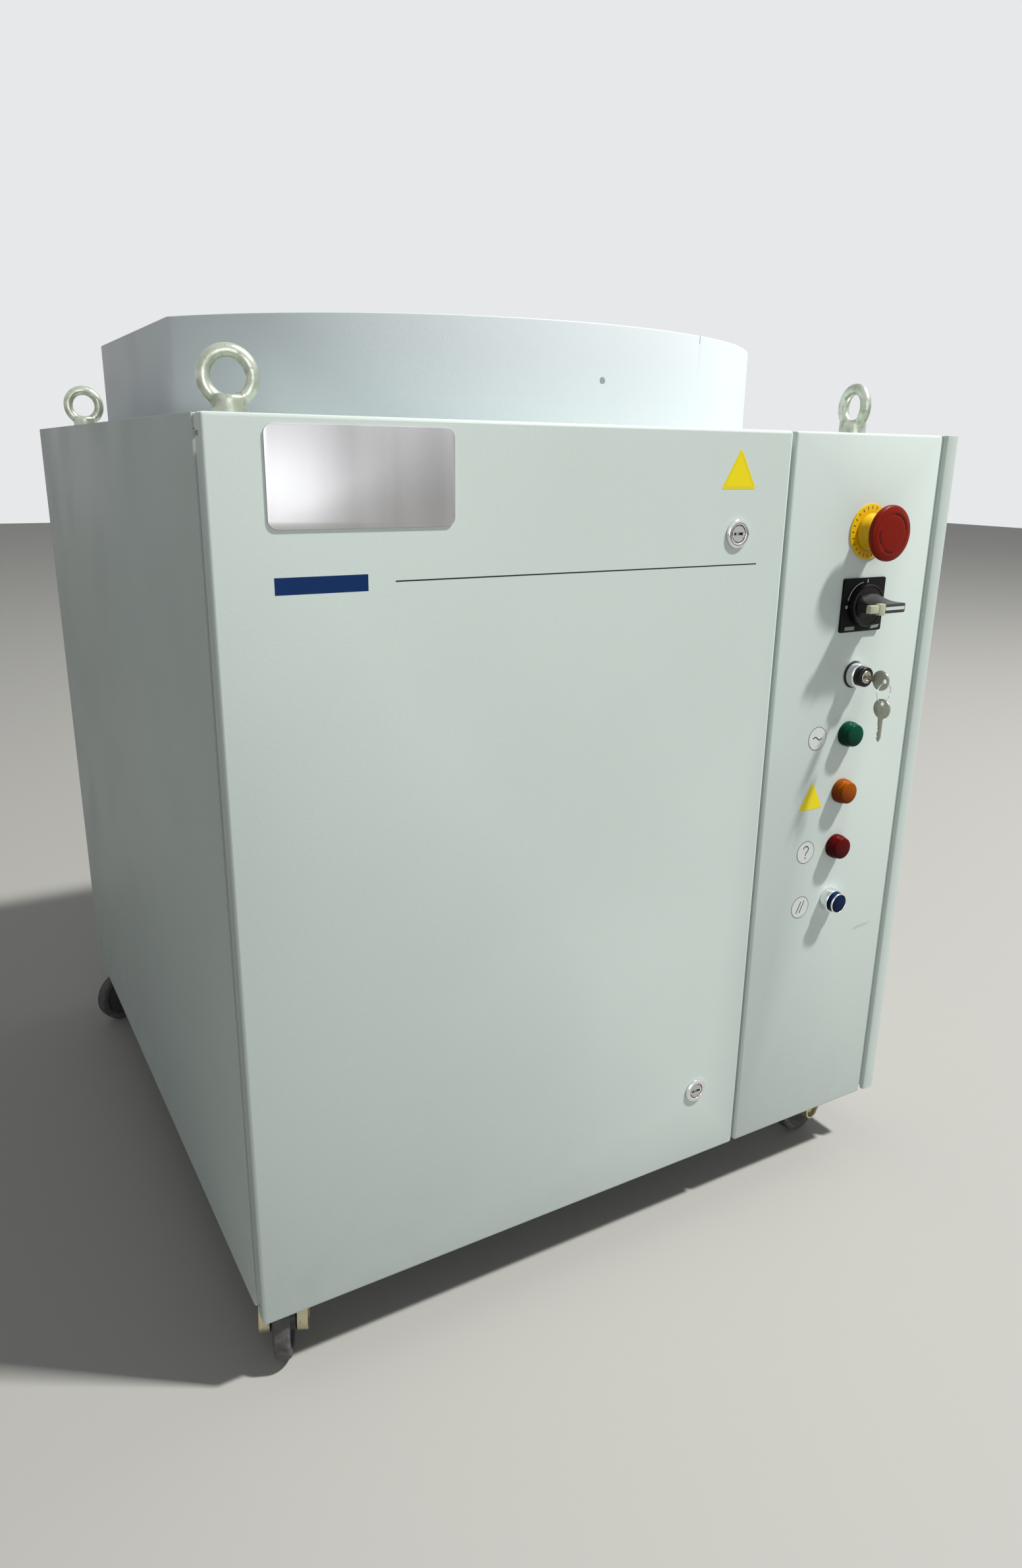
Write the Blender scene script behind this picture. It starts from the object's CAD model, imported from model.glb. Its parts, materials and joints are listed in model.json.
# %% [markdown]
# # A laser source cabinet on casters
#
# The part is a mobile cabinet that holds a fiber laser source. It is a folded sheet-metal box with a
# hinged door, a fixed panel of controls, a cable collar and four lifting eyes on top, and four swivel
# casters below. The CAD frame gives every size and place. This script dresses it: finer meshes where
# the solids are faceted, and procedural finishes everywhere.

import json
import math

import bmesh
import bpy
from mathutils import Matrix, Vector

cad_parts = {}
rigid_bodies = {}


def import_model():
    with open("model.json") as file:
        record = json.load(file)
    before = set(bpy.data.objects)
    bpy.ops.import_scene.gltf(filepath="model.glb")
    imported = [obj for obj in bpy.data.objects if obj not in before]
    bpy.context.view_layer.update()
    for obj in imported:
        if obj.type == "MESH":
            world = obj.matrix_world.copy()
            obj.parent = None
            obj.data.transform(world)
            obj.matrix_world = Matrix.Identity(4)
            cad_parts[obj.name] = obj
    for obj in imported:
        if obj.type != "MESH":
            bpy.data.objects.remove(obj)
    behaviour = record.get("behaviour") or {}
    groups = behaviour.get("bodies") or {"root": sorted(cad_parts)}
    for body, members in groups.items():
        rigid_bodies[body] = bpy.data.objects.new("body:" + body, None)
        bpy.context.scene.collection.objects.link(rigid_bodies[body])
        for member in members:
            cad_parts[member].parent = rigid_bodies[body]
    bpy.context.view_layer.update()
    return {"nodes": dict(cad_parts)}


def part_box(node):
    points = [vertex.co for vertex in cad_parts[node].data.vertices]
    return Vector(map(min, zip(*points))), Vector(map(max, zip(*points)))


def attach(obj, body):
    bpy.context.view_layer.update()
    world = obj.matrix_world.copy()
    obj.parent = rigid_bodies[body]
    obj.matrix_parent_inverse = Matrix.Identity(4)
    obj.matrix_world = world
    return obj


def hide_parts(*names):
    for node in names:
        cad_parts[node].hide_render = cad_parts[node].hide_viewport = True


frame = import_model()

MM = 0.001
CORNERS = ("front_left", "front_right", "rear_left", "rear_right")
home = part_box("door_panel")[0]


def at(x, y, z):
    """A place in millimetres from the door's lower left front corner."""
    return home + Vector((x, y, z)) * MM


def middle(node):
    low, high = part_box(node)
    return (low + high) / 2


print("door corner", tuple(round(v, 4) for v in home))

# %% [markdown]
# ## Camera and lamps
#
# The photograph is taken close to the cabinet with a wide lens, from a little above its top and to
# the left of its front edge, which makes the verticals lean. A 24 mm lens and a camera that looks
# 17 degrees down repeat that. The light falls from high on the right, so every control throws its
# shadow down to the left and the left side stays in shade. The key lamp stands far off, because a
# near one would light the top of the door more than its foot.

# %% Camera
def add_object(name, data):
    """A new object in the scene."""
    made = bpy.data.objects.new(name, data)
    bpy.context.scene.collection.objects.link(made)
    return made


camera_data = bpy.data.cameras.new("camera")
camera_data.lens = 24.0
camera_data.sensor_width = 36.0
camera = add_object("camera", camera_data)
camera.location = at(-211.8, -827.9, 819.8)
camera.rotation_euler = [math.radians(angle) for angle in (72.66, -0.779, -30.084)]
bpy.context.scene.camera = camera
bpy.context.scene.view_settings.view_transform = "Standard"
print("camera", tuple(round(v, 3) for v in camera.location))


# %% Lamps of the room
def add_area_lamp(name, direction, distance, size, power, colour):
    """A square lamp at a distance from the cabinet's middle, turned towards it."""
    data = bpy.data.lights.new(name, "AREA")
    data.size = size
    data.energy = power
    data.color = colour
    lamp = add_object(name, data)
    heading = Vector(direction).normalized()
    lamp.location = Vector((0, 0, 0.5)) + heading * distance
    lamp.rotation_euler = heading.to_track_quat("Z", "Y").to_euler()


add_area_lamp("key", (0.43, -0.37, 0.82), 8.0, 0.5, 800, (1.0, 0.99, 0.97))
add_area_lamp("front_fill", (-0.20, -0.95, 0.10), 6.0, 3.0, 74, (0.95, 0.98, 1.0))
add_area_lamp("window", (0.74, 0.29, 0.62), 5.0, 2.0, 10, (0.96, 0.98, 1.0))
print("lamps", len(bpy.data.lights))

# %% [markdown]
# ## Shader trees as expressions
#
# A finish is a small program: noise, masks and ramps that end in the sockets of one shader. Written
# with Python's own signs it reads as such. A Signal wraps one socket, and adding or multiplying
# Signals adds the Math nodes. A Tree has one method that adds any other node, and a Finish is the
# tree of a material.


# %% Signals
class Signal:
    """One value in a shader tree."""

    def __init__(self, tree, socket):
        self.tree, self.socket = tree, socket

    def maths(self, operation, first, second):
        return self.tree.node("Math", {0: first, 1: second}, operation=operation)

    def __add__(self, other):
        return self.maths("ADD", self, other)

    def __sub__(self, other):
        return self.maths("SUBTRACT", self, other)

    def __rsub__(self, other):
        return self.maths("SUBTRACT", other, self)

    def __mul__(self, other):
        return self.maths("MULTIPLY", self, other)

    def __pow__(self, other):
        return self.maths("POWER", self, other)

    __radd__, __rmul__ = __add__, __mul__

    def away(self):
        """The distance of the value from zero."""
        return self.maths("ABSOLUTE", self, 0.0)

    def largest(self, other):
        return self.maths("MAXIMUM", self, other)


# %% Trees
class Tree:
    """A shader tree, with one method that adds any node."""

    def __init__(self, tree):
        self.tree = tree

    def feed(self, slot, value):
        if isinstance(value, Signal):
            self.tree.links.new(value.socket, slot)
        elif slot.type == "RGBA":
            slot.default_value = (*value, 1)
        else:
            slot.default_value = value

    def node(self, kind, inputs, output=0, **settings):
        """Adds a node: its settings first, and then the values or links of its sockets."""
        made = self.tree.nodes.new("ShaderNode" + kind)
        for label, value in settings.items():
            setattr(made, label, value)
        for label, value in inputs.items():
            if isinstance(label, int):
                slot = made.inputs[label]
            else:
                slot = next(slot for slot in made.inputs if label in (slot.identifier, slot.name))
            self.feed(slot, value)
        return Signal(self, made.outputs[output])

    def looked_at(self):
        """1 for what the camera or a mirror shows, and 0 for what only gives light."""
        rays = self.node("LightPath", {}).socket.node.outputs
        shown = Signal(self, rays["Is Camera Ray"])
        for kind in ("Is Glossy Ray", "Is Transmission Ray"):
            shown = shown.largest(Signal(self, rays[kind]))
        return shown


# %% Finishes
class Finish(Tree):
    """A material with one shader."""

    def __init__(self, name, sockets):
        self.material = bpy.data.materials.new(name)
        self.material.use_nodes = True
        super().__init__(self.material.node_tree)
        self.shader = self.tree.nodes["Principled BSDF"]
        self.where = None
        self.set(sockets)

    def set(self, sockets):
        for label, value in sockets.items():
            self.feed(self.shader.inputs[label], value)
        return self

    def place(self):
        """Where a point lies on the object, in metres."""
        if self.where is None:
            self.where = self.node("TexCoord", {}, output=3)
        return self.where

    def axes(self):
        split = self.node("SeparateXYZ", {0: self.place()})
        return [Signal(self, socket) for socket in split.socket.node.outputs]

    def noise(self, scale, detail=2.0, stretch=None):
        where = self.place()
        if stretch:
            where = self.node("VectorMath", {0: where, 1: stretch}, operation="MULTIPLY")
        return self.node("TexNoise", {"Vector": where, "Scale": scale, "Detail": detail})

    def ramp(self, value, low, high):
        """0 below the low value and 1 above the high one, with a smooth way between."""
        sockets = {"Value": value, "From Min": low, "From Max": high}
        return self.node("MapRange", sockets, interpolation_type="SMOOTHSTEP")

    def mix(self, share, first, second):
        sockets = {"Factor_Float": share, "A_Color": first, "B_Color": second}
        return self.node("Mix", sockets, output=2, data_type="RGBA")

    def tint(self, share, colour):
        """Lays a colour over the one that is there, by a share."""
        below = Signal(self, self.shader.inputs["Base Color"].links[0].from_socket)
        return self.set({"Base Color": self.mix(share, below, colour)})

    def relief(self, height, depth):
        """Bumps of a depth in metres."""
        self.set({"Normal": self.node("Bump", {"Height": height, "Distance": depth, "Strength": 1.0})})
        return self


def shade(colour, factor):
    return tuple(channel * factor for channel in colour)


signs = ("add__", "sub__", "mul__", "pow__")
print("a signal answers to", [name.strip("_") for name in vars(Signal) if name.endswith(signs)])

# %% [markdown]
# ## The pale room
#
# The cabinet stands in front of a pale ground, but so pale a world would fill every shadow. The world
# asks what kind of ray meets it: the camera and mirrors see it pale, and all other rays find a weak
# light.

# %% World
LIGHTS, SHOWS = 0.22, 0.82
world = bpy.data.worlds.new("studio")
bpy.context.scene.world = world
world.use_nodes = True
sky = Tree(world.node_tree)
background = sky.tree.nodes["Background"]
sky.feed(background.inputs["Color"], (0.97, 0.985, 1.0))
strength = sky.node("MapRange", {"Value": sky.looked_at(), "To Min": LIGHTS, "To Max": SHOWS})
sky.feed(background.inputs["Strength"], strength)
print("world strength", LIGHTS, "and", SHOWS)

# %% [markdown]
# ## Powder coat
#
# The panels are powder coated in a pale grey green. Close up the coat has a fine grain, and from a
# distance it is not one flat colour: it is a little cloudy, dust settles on the lowest edge and hands
# leave a faint film where the door is opened. All of it is noise at different sizes, kept weak.

# %% Powder coat
COAT = (0.585, 0.660, 0.622)


def powder_coat(name, tone, roughness=0.42, grain=0.00007, gloss=0.40):
    coat = Finish(name, {"Specular IOR Level": gloss})
    height = coat.axes()[2]
    cloud = coat.noise(2.1, 3.0)
    film = coat.noise(9.0, 4.0)
    speckle = coat.noise(1300.0, 2.0)
    colour = coat.mix(coat.ramp(cloud, 0.32, 0.68), shade(tone, 0.965), shade(tone, 1.03))
    colour = coat.mix(coat.ramp(speckle, 0.62, 0.78) * 0.16, colour, shade(tone, 0.62))
    dust = (1.0 - coat.ramp(height, 0.08, 0.26)) * coat.ramp(coat.noise(24.0, 5.0), 0.42, 0.72)
    colour = coat.mix(dust * 0.07, colour, (0.36, 0.33, 0.28))
    coat.set({
        "Base Color": colour,
        "Roughness": roughness + coat.ramp(film, 0.35, 0.7) * 0.12 + dust * 0.2,
    })
    return coat.relief(speckle + coat.noise(380.0, 1.0) * 0.7, grain)


coat_finish = powder_coat("powder coat", COAT)
side_finish = powder_coat("structured powder coat", shade(COAT, 0.95), 0.46, 0.00009, 0.22)
print("powder coats", coat_finish.material.name, side_finish.material.name)

# %% [markdown]
# The control panel carries one mark that the rest lacks: a short grey scuff to the right of the
# lowest button, where something brushed past. It is drawn as the distance to a slanted line, torn
# up by noise, so it stays a smear and not a stroke.

# %% Scuff on the control panel
panel_finish = powder_coat("powder coat of the control panel", COAT)
along, _, up = panel_finish.axes()
scuff = at(792, 0, 256)
run = along - scuff.x
rise = up - scuff.z
line = (rise - run * 0.09 - panel_finish.noise(60.0, 3.0) * 0.004 + 0.002).away()
within = 1.0 - panel_finish.ramp(run.away(), 0.008, 0.019)
smear = (1.0 - panel_finish.ramp(line, 0.0006, 0.0032)) * within
smear = smear * panel_finish.ramp(panel_finish.noise(420.0, 3.0, (1, 1, 3)), 0.35, 0.62)
panel_finish.tint(smear * 0.55, (0.22, 0.22, 0.24))
print("nodes in the panel's finish", len(panel_finish.tree.nodes))

# %% [markdown]
# ## Metals
#
# Brushed steel is noise stretched along one axis, in both its colour and its roughness. Zinc on the
# lifting eyes and casters is blotchy: pale and greenish, with darker rubbed places. Chrome is smooth
# and only slightly worn, and a nickel key has fine scratches.


# %% Metals
def brushed(name, tone, stretch, roughness=0.30):
    metal = Finish(name, {"Metallic": 1.0})
    lines = metal.noise(900.0, 3.0, stretch)
    broad = metal.noise(7.0, 2.0)
    metal.set({
        "Base Color": metal.mix(lines, shade(tone, 0.84), shade(tone, 1.08)),
        "Roughness": roughness + lines * 0.16 + broad * 0.08,
    })
    return metal.relief(lines, 0.00002)


def zinc(name, tone, dull, scale=55.0):
    metal = Finish(name, {"Metallic": 0.82})
    blotch = metal.ramp(metal.noise(scale, 4.0), 0.38, 0.66)
    rubbed = metal.ramp(metal.noise(scale * 3.1, 5.0), 0.58, 0.74)
    colour = metal.mix(blotch, tone, dull)
    colour = metal.mix(rubbed * 0.55, colour, shade(dull, 0.45))
    metal.set({"Base Color": colour, "Roughness": 0.30 + blotch * 0.16 + rubbed * 0.14})
    return metal.relief(metal.noise(700.0, 3.0) + blotch * 0.6, 0.00012)


steel_finish = brushed("brushed steel", (0.56, 0.56, 0.555), (1.0, 60.0, 60.0))
plate_finish = brushed("brushed plate", (0.43, 0.42, 0.425), (1.0, 1.0, 45.0), 0.24)
bands = plate_finish.ramp(plate_finish.noise(16.0, 3.0, (1, 1, 0.05)), 0.30, 0.70)
plate_finish.tint(bands * 0.4, (0.74, 0.73, 0.735))
aluminium_finish = brushed("brushed aluminium", (0.66, 0.67, 0.68), (1.0, 40.0, 40.0), 0.34)
eye_finish = zinc("galvanised eye", (0.56, 0.59, 0.50), (0.36, 0.39, 0.31))
fork_finish = zinc("yellow zinc", (0.68, 0.64, 0.46), (0.55, 0.50, 0.32), 40.0)

chrome_finish = Finish("chrome", {"Metallic": 1.0, "Base Color": (0.80, 0.80, 0.81)})
worn = chrome_finish.ramp(chrome_finish.noise(260.0, 4.0), 0.5, 0.75)
chrome_finish.set({"Roughness": 0.08 + worn * 0.14}).relief(chrome_finish.noise(120.0, 2.0), 0.00003)

key_finish = Finish("nickel key", {"Metallic": 1.0})
scratch = key_finish.ramp(key_finish.noise(500.0, 5.0, (1, 2.5, 1)), 0.52, 0.7)
key_finish.set({
    "Base Color": key_finish.mix(scratch * 0.5, (0.40, 0.39, 0.33), (0.26, 0.25, 0.20)),
    "Roughness": 0.26 + scratch * 0.2,
}).relief(scratch, 0.00003)
print("finishes", len(bpy.data.materials))

# %% [markdown]
# ## Plastics, prints and rubber
#
# Plastics differ mostly in gloss, so each gets a fine mould texture and a little wear. Their mirror
# level is low, because the pale room would lay a milky veil over dark plastic. A lens is a coloured
# cap with fine rings inside it and a thin clear coat.


# %% Plastics and rubber
def plastic(name, tone, roughness, grain=0.00003, wear=0.10, gloss=0.25):
    made = Finish(name, {"Specular IOR Level": gloss})
    mould = made.noise(1800.0, 2.0)
    marks = made.ramp(made.noise(70.0, 5.0), 0.56, 0.78)
    made.set({
        "Base Color": made.mix(marks * wear, tone, tuple(0.5 * c + 0.12 for c in tone)),
        "Roughness": roughness + marks * 0.14 + mould * 0.05,
    })
    return made.relief(mould, grain)


black_finish = plastic("black plastic", (0.006, 0.006, 0.006), 0.30, wear=0.04)
plate_black_finish = plastic("matt black plastic", (0.004, 0.004, 0.004), 0.42, wear=0.03, gloss=0.10)
dark_finish = plastic("dark grey plastic", (0.045, 0.046, 0.050), 0.42)
grey_finish = plastic("grey plastic", (0.30, 0.31, 0.32), 0.46)
satin_black_finish = plastic("satin black plastic", (0.006, 0.006, 0.007), 0.34, wear=0.04, gloss=0.60)
cream_finish = plastic("cream plastic", (0.42, 0.44, 0.31), 0.40, wear=0.25)
yellow_finish = plastic("yellow plastic", (0.80, 0.50, 0.006), 0.36, wear=0.06)
red_finish = plastic("red plastic", (0.19, 0.008, 0.002), 0.30, wear=0.03, gloss=0.11)
white_finish = plastic("white print", (0.62, 0.65, 0.63), 0.45, wear=0.10)
ink_finish = plastic("black print", (0.010, 0.010, 0.012), 0.42, wear=0.06)
blue_print_finish = plastic("blue print", (0.002, 0.024, 0.105), 0.40, wear=0.02, gloss=0.15)
sticker_finish = plastic("yellow sticker", (0.80, 0.66, 0.01), 0.38, wear=0.05)
foam_finish = plastic("black foam", (0.030, 0.030, 0.031), 0.85, 0.0002)

tyre_finish = Finish("tyre rubber", {"Specular IOR Level": 0.3})
chalk = tyre_finish.ramp(tyre_finish.noise(120.0, 5.0), 0.45, 0.75)
tyre_finish.set({
    "Base Color": tyre_finish.mix(chalk * 0.5, (0.075, 0.072, 0.072), (0.20, 0.19, 0.18)),
    "Roughness": 0.62 + chalk * 0.25,
}).relief(tyre_finish.noise(600.0, 4.0), 0.00015)
print("finishes", len(bpy.data.materials))


# %% Lens plastic
def lens(name, tone, glow, centre):
    """A coloured cap with fine rings inside it, paler where the light gathers."""
    sockets = {"Roughness": 0.24, "Specular IOR Level": 0.05, "Coat Weight": 0.05, "Coat Roughness": 0.05}
    made = Finish(name, sockets)
    x, _, z = made.axes()
    away = ((x - centre.x) ** 2.0 + (z - centre.z) ** 2.0) ** 0.5
    rings = made.node("Math", {0: away * 5200.0}, operation="SINE") * 0.5 + 0.5
    lit = made.ramp((z - centre.z) + (x - centre.x) * 0.6, -0.016, 0.013)
    colour = made.mix(lit, shade(tone, 0.45), tone)
    colour = made.mix(rings * lit * 0.35, colour, glow)
    made.set({"Base Color": colour})
    return made.relief(rings, 0.00004)


# %% [markdown]
# ## Turned shapes
#
# Most small parts are turned, so one helper turns a profile about Z, and another rounds the corners
# of a profile first, because a real moulded or machined edge always catches a thin highlight.


# %% Eased corners and turned shapes
def eased(points, radius, closed=False, steps=3):
    """The outline with every corner rounded by a short curve."""
    made = []
    for index, point in enumerate(points):
        if not closed and index in (0, len(points) - 1):
            made.append(tuple(point))
            continue
        corner = Vector(point)
        before = Vector(points[index - 1]) - corner
        after = Vector(points[(index + 1) % len(points)]) - corner
        reach = min(radius, 0.45 * before.length, 0.45 * after.length)
        start, end = corner + before.normalized() * reach, corner + after.normalized() * reach
        for step in range(steps + 1):
            share = step / steps
            made.append(tuple(start.lerp(corner, share).lerp(corner.lerp(end, share), share)))
    return made


def turned(profile, steps=64, closed=False):
    """A solid turned about Z from (radius, height) points in millimetres."""
    bm = bmesh.new()
    rings = []
    for radius, height in profile:
        count = steps if radius > 1e-6 else 1
        angles = [2 * math.pi * step / steps for step in range(count)]
        rings.append([
            bm.verts.new(Vector((radius * math.cos(a), radius * math.sin(a), height)) * MM) for a in angles
        ])
    for lower, upper in zip(rings, rings[1:] + (rings[:1] if closed else [])):
        for step in range(steps):
            corners = [
                lower[step % len(lower)],
                lower[(step + 1) % len(lower)],
                upper[(step + 1) % len(upper)],
                upper[step % len(upper)],
            ]
            unique = list(dict.fromkeys(corners))
            if len(unique) > 2:
                bm.faces.new(unique)
    return bm


print("a square with eased corners has", len(eased([(0, 0), (1, 0), (1, 1), (0, 1)], 0.1, True)), "points")

# %% [markdown]
# ## Outlines and slabs
#
# Plates, labels and keys are flat: an outline that gets a thickness. Their outlines are made of a few
# kinds of points, so each kind has a short function: rectangles, arcs, round corners and drawn lines.


# %% Outlines
def oblong(left, low, right, high):
    """The outline of a rectangle."""
    return [(left, low), (right, low), (right, high), (left, high)]


def polar(radius, degrees, centre=(0, 0)):
    """The point at a distance and an angle from a centre."""
    angle = math.radians(degrees)
    return centre[0] + radius * math.cos(angle), centre[1] + radius * math.sin(angle)


def arc(radius, start, end, steps, centre=(0, 0)):
    """Points on an arc, with its angles in degrees."""
    return [polar(radius, start + (end - start) * step / steps, centre) for step in range(steps + 1)]


def rounded(width, height, radius, steps=8):
    """The outline of a rectangle with round corners."""
    made = []
    for quarter, (sx, sy) in enumerate(((1, 1), (-1, 1), (-1, -1), (1, -1))):
        centre = (sx * (width / 2 - radius), sy * (height / 2 - radius))
        made += arc(radius, 90 * quarter, 90 * quarter + 90, steps, centre)
    return made


def asides(points):
    """For each point of a line, the direction to its left."""
    made = []
    for index in range(len(points)):
        before, after = points[max(index - 1, 0)], points[min(index + 1, len(points) - 1)]
        heading = (Vector(after) - Vector(before)).normalized()
        made.append(Vector((-heading.y, heading.x)))
    return made


def strip(points, width):
    """The outline of a line of a width drawn along points."""
    sides = [aside * width / 2 for aside in asides(points)]
    left = [tuple(Vector(point) + side) for point, side in zip(points, sides)]
    right = [tuple(Vector(point) - side) for point, side in zip(points, sides)]
    return left + right[::-1]


# %% Slabs
def slab(outline, low, high, edge=0.0):
    """An outline in millimetres made solid, with its two rims bevelled."""
    bm = bmesh.new()
    face = bm.faces.new([bm.verts.new(Vector((x, y, low)) * MM) for x, y in outline])
    top = bmesh.ops.extrude_face_region(bm, geom=[face])["geom"]
    lifted = [item for item in top if isinstance(item, bmesh.types.BMVert)]
    bmesh.ops.translate(bm, vec=(0, 0, (high - low) * MM), verts=lifted)
    if edge:
        bm.normal_update()
        rims = [e for e in bm.edges if len({round(v.co.z, 7) for v in e.verts}) == 1]
        bmesh.ops.bevel(bm, geom=rims, offset=edge * MM, segments=2, profile=0.5, affect="EDGES")
    return bm


print("a rounded plate has", len(rounded(60, 60, 2)), "points in its outline")

# %% [markdown]
# ## Placing and making a piece
#
# A control stands on the front of the cabinet, so a placing matrix turns Z towards the viewer. Every
# piece goes through one function, which welds its points, turns its faces outwards, marks its sharp
# edges, gives it a finish and lets it ride on a body. The place goes into the mesh, so that each
# finished object stays at the origin.


# %% Places
def spin(degrees, axis):
    return Matrix.Rotation(math.radians(degrees), 4, axis)


def shift(x, y, z):
    """A move in millimetres."""
    return Matrix.Translation(Vector((x, y, z)) * MM)


def facing_front(x, z):
    """Turns Z towards the viewer and stands it on the front of the cabinet."""
    return Matrix.Translation(at(x, 0, z)) @ spin(90, "X")


def facing_rear(centre):
    return Matrix.Translation(centre) @ spin(-90, "X")


def on_front(node):
    """Where the middle of a node lies on the front, in millimetres."""
    centre = middle(node)
    return (centre.x - home.x) / MM, (centre.z - home.z) / MM


def placed(bm, matrix):
    bmesh.ops.transform(bm, matrix=matrix, verts=bm.verts)
    return bm


# %% Making a piece
def to_mesh(name, bm):
    """Turns a shape into mesh data and frees it."""
    mesh = bpy.data.meshes.new(name)
    bm.to_mesh(mesh)
    bm.free()
    return mesh


def shade_edges(made, degrees):
    """Smooth shading, with edges steeper than an angle kept sharp."""
    made.data.shade_smooth()
    made.data.set_sharp_from_angle(angle=math.radians(degrees))


def dress(made, finish):
    """Gives a mesh its one finish."""
    made.data.materials.clear()
    made.data.materials.append(finish.material)


def piece(name, bm, finish, place=None, stands_for=(), body="cabinet", smooth=40):
    """A finished piece at the origin, with its place in its mesh, that rides on a body."""
    if place is not None:
        placed(bm, place)
    bmesh.ops.remove_doubles(bm, verts=bm.verts, dist=0.000001)
    bmesh.ops.recalc_face_normals(bm, faces=bm.faces)
    made = add_object(name, to_mesh(name, bm))
    shade_edges(made, smooth)
    dress(made, finish)
    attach(made, body)
    if stands_for:
        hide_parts(*stands_for)
    return made


def lathe(name, profile, ease, finish, place, stands_for=(), body="cabinet", steps=72, closed=False):
    """A turned piece whose profile gets its corners eased first."""
    shape = turned(eased(profile, ease, closed), steps, closed)
    return piece(name, shape, finish, place, stands_for, body)


# %% Modifiers, joined shapes and a count
def settle(made):
    """Applies a piece's modifiers and leaves a plain mesh."""
    graph = bpy.context.evaluated_depsgraph_get()
    mesh = bpy.data.meshes.new_from_object(made.evaluated_get(graph))
    made.modifiers.clear()
    made.data = mesh
    return made


def join_shapes(*shapes):
    """Several shapes in one mesh."""
    whole = bmesh.new()
    for shape in shapes:
        loose = to_mesh("loose", shape)
        whole.from_mesh(loose)
        bpy.data.meshes.remove(loose)
    return whole


told = {obj.name for obj in bpy.data.objects}


def tell(step):
    """Prints how many pieces a step made, and how many faces they have."""
    made = [obj for obj in bpy.data.objects if obj.type == "MESH" and obj.name not in told]
    told.update(obj.name for obj in made)
    print(f"{step}: {len(made)} pieces, {sum(len(obj.data.polygons) for obj in made)} faces")


print("objects before the first piece", len(told))

# %% [markdown]
# ## Folded sheet
#
# The frame's own solids already have the right folds, but their edges are perfectly sharp. A copy of
# each, with its loose triangles merged and a bevel of a few tenths of a millimetre, catches the light
# along every cut edge, as laser-cut and coated sheet does. The bevel hardens its normals, so that the
# wide faces stay flat and only the narrow ones turn the light. A thin strip behind the gap beside the
# controls keeps the dark inside from showing through it.


# %% Sheet pieces
def softened(node, finish, body="cabinet", width=0.35):
    """A copy of a CAD node with its edges eased, which stands for it."""
    bm = bmesh.new()
    bm.from_mesh(frame["nodes"][node].data)
    bmesh.ops.remove_doubles(bm, verts=bm.verts, dist=0.00001)
    bmesh.ops.dissolve_limit(bm, angle_limit=math.radians(1), verts=bm.verts, edges=bm.edges)
    made = add_object(node + "_dressed", to_mesh(node + "_dressed", bm))
    shade_edges(made, 35)
    bevel = made.modifiers.new("edge", "BEVEL")
    bevel.width = width * MM
    bevel.segments = 2
    bevel.angle_limit = math.radians(32)
    bevel.harden_normals = True
    settle(made)
    dress(made, finish)
    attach(made, body)
    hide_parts(node)


frame_finish = plastic("grey frame paint", (0.30, 0.31, 0.32), 0.48, 0.00008)
for node in (*(corner + "_post" for corner in CORNERS), "centre_post", "base_frame"):
    softened(node, frame_finish)
for node in ("left_side_panel", "right_side_panel", "rear_panel"):
    softened(node, side_finish)
softened("top_plate", coat_finish)
softened("control_panel", panel_finish)
softened("door_panel", coat_finish, "door")
gap_strip = slab(oblong(830.4, 6.3, 841.0, 7.3), 4, 846)
piece("gap_strip", gap_strip, side_finish, Matrix.Translation(home))
for level in ("lower", "upper"):
    softened(level + "_hinge_bracket", steel_finish)
tell("sheet")

# %% [markdown]
# ## The collar
#
# The collar is one long sheet bent round the tray for the coiled laser cable: round in front, straight
# at the sides and slanted behind. Its section is carried round a path, so the hem at the top and the
# foot at the bottom follow every bend. The path is worked out from the box of the solid.

# %% The path of the collar
low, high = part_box("cable_collar")
collar_left, collar_right = low.x, high.x
collar_front, collar_rear = low.y, high.y
collar_low, collar_high = low.z, high.z
half_width = (collar_right - collar_left) / 2
bend_radius = 0.437
side_end = at(0, 680, 0).y
slant = collar_rear - side_end
axis_x, axis_y = (collar_left + collar_right) / 2, collar_front + bend_radius
half_angle = math.degrees(math.asin(half_width / bend_radius))
path = arc(bend_radius, -90 - half_angle, -90 + half_angle, 96, (axis_x, axis_y))
path += [(collar_right, side_end), (collar_right - slant, collar_rear)]
path += [(collar_left + slant, collar_rear), (collar_left, side_end)]
bends = eased([path[0], path[-1], path[-2], path[-3], path[-4], path[-5]], 0.006, steps=4)
path = path[1:-5] + bends[::-1]
print("collar path", len(path), "points")


# %% A section carried round a path
def inward(points, distance):
    """The closed outline moved to its left, with mitred corners."""
    made = []
    for index, point in enumerate(points):
        here = Vector(point)
        arriving = (here - Vector(points[index - 1])).normalized()
        leaving = (Vector(points[(index + 1) % len(points)]) - here).normalized()
        sides = [Vector((-v.y, v.x)) for v in (arriving, leaving)]
        mitre = (sides[0] + sides[1]).normalized()
        made.append(tuple(here + mitre * (distance / mitre.dot(sides[0]))))
    return made


def skin(bm, rings, closed=False):
    """Faces between rings that have the same number of points."""
    for lower, upper in zip(rings, rings[1:] + (rings[:1] if closed else [])):
        for index in range(len(lower)):
            beside = (index + 1) % len(lower)
            bm.faces.new((lower[index], lower[beside], upper[beside], upper[index]))


def carried(points, section):
    """A closed ring: (distance inside the path, height) points carried round the path."""
    bm = bmesh.new()
    rings = []
    for distance, height in section:
        ring = inward(points, distance) if distance else points
        rings.append([bm.verts.new((x, y, height)) for x, y in ring])
    skin(bm, rings, closed=True)
    return bm


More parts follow.
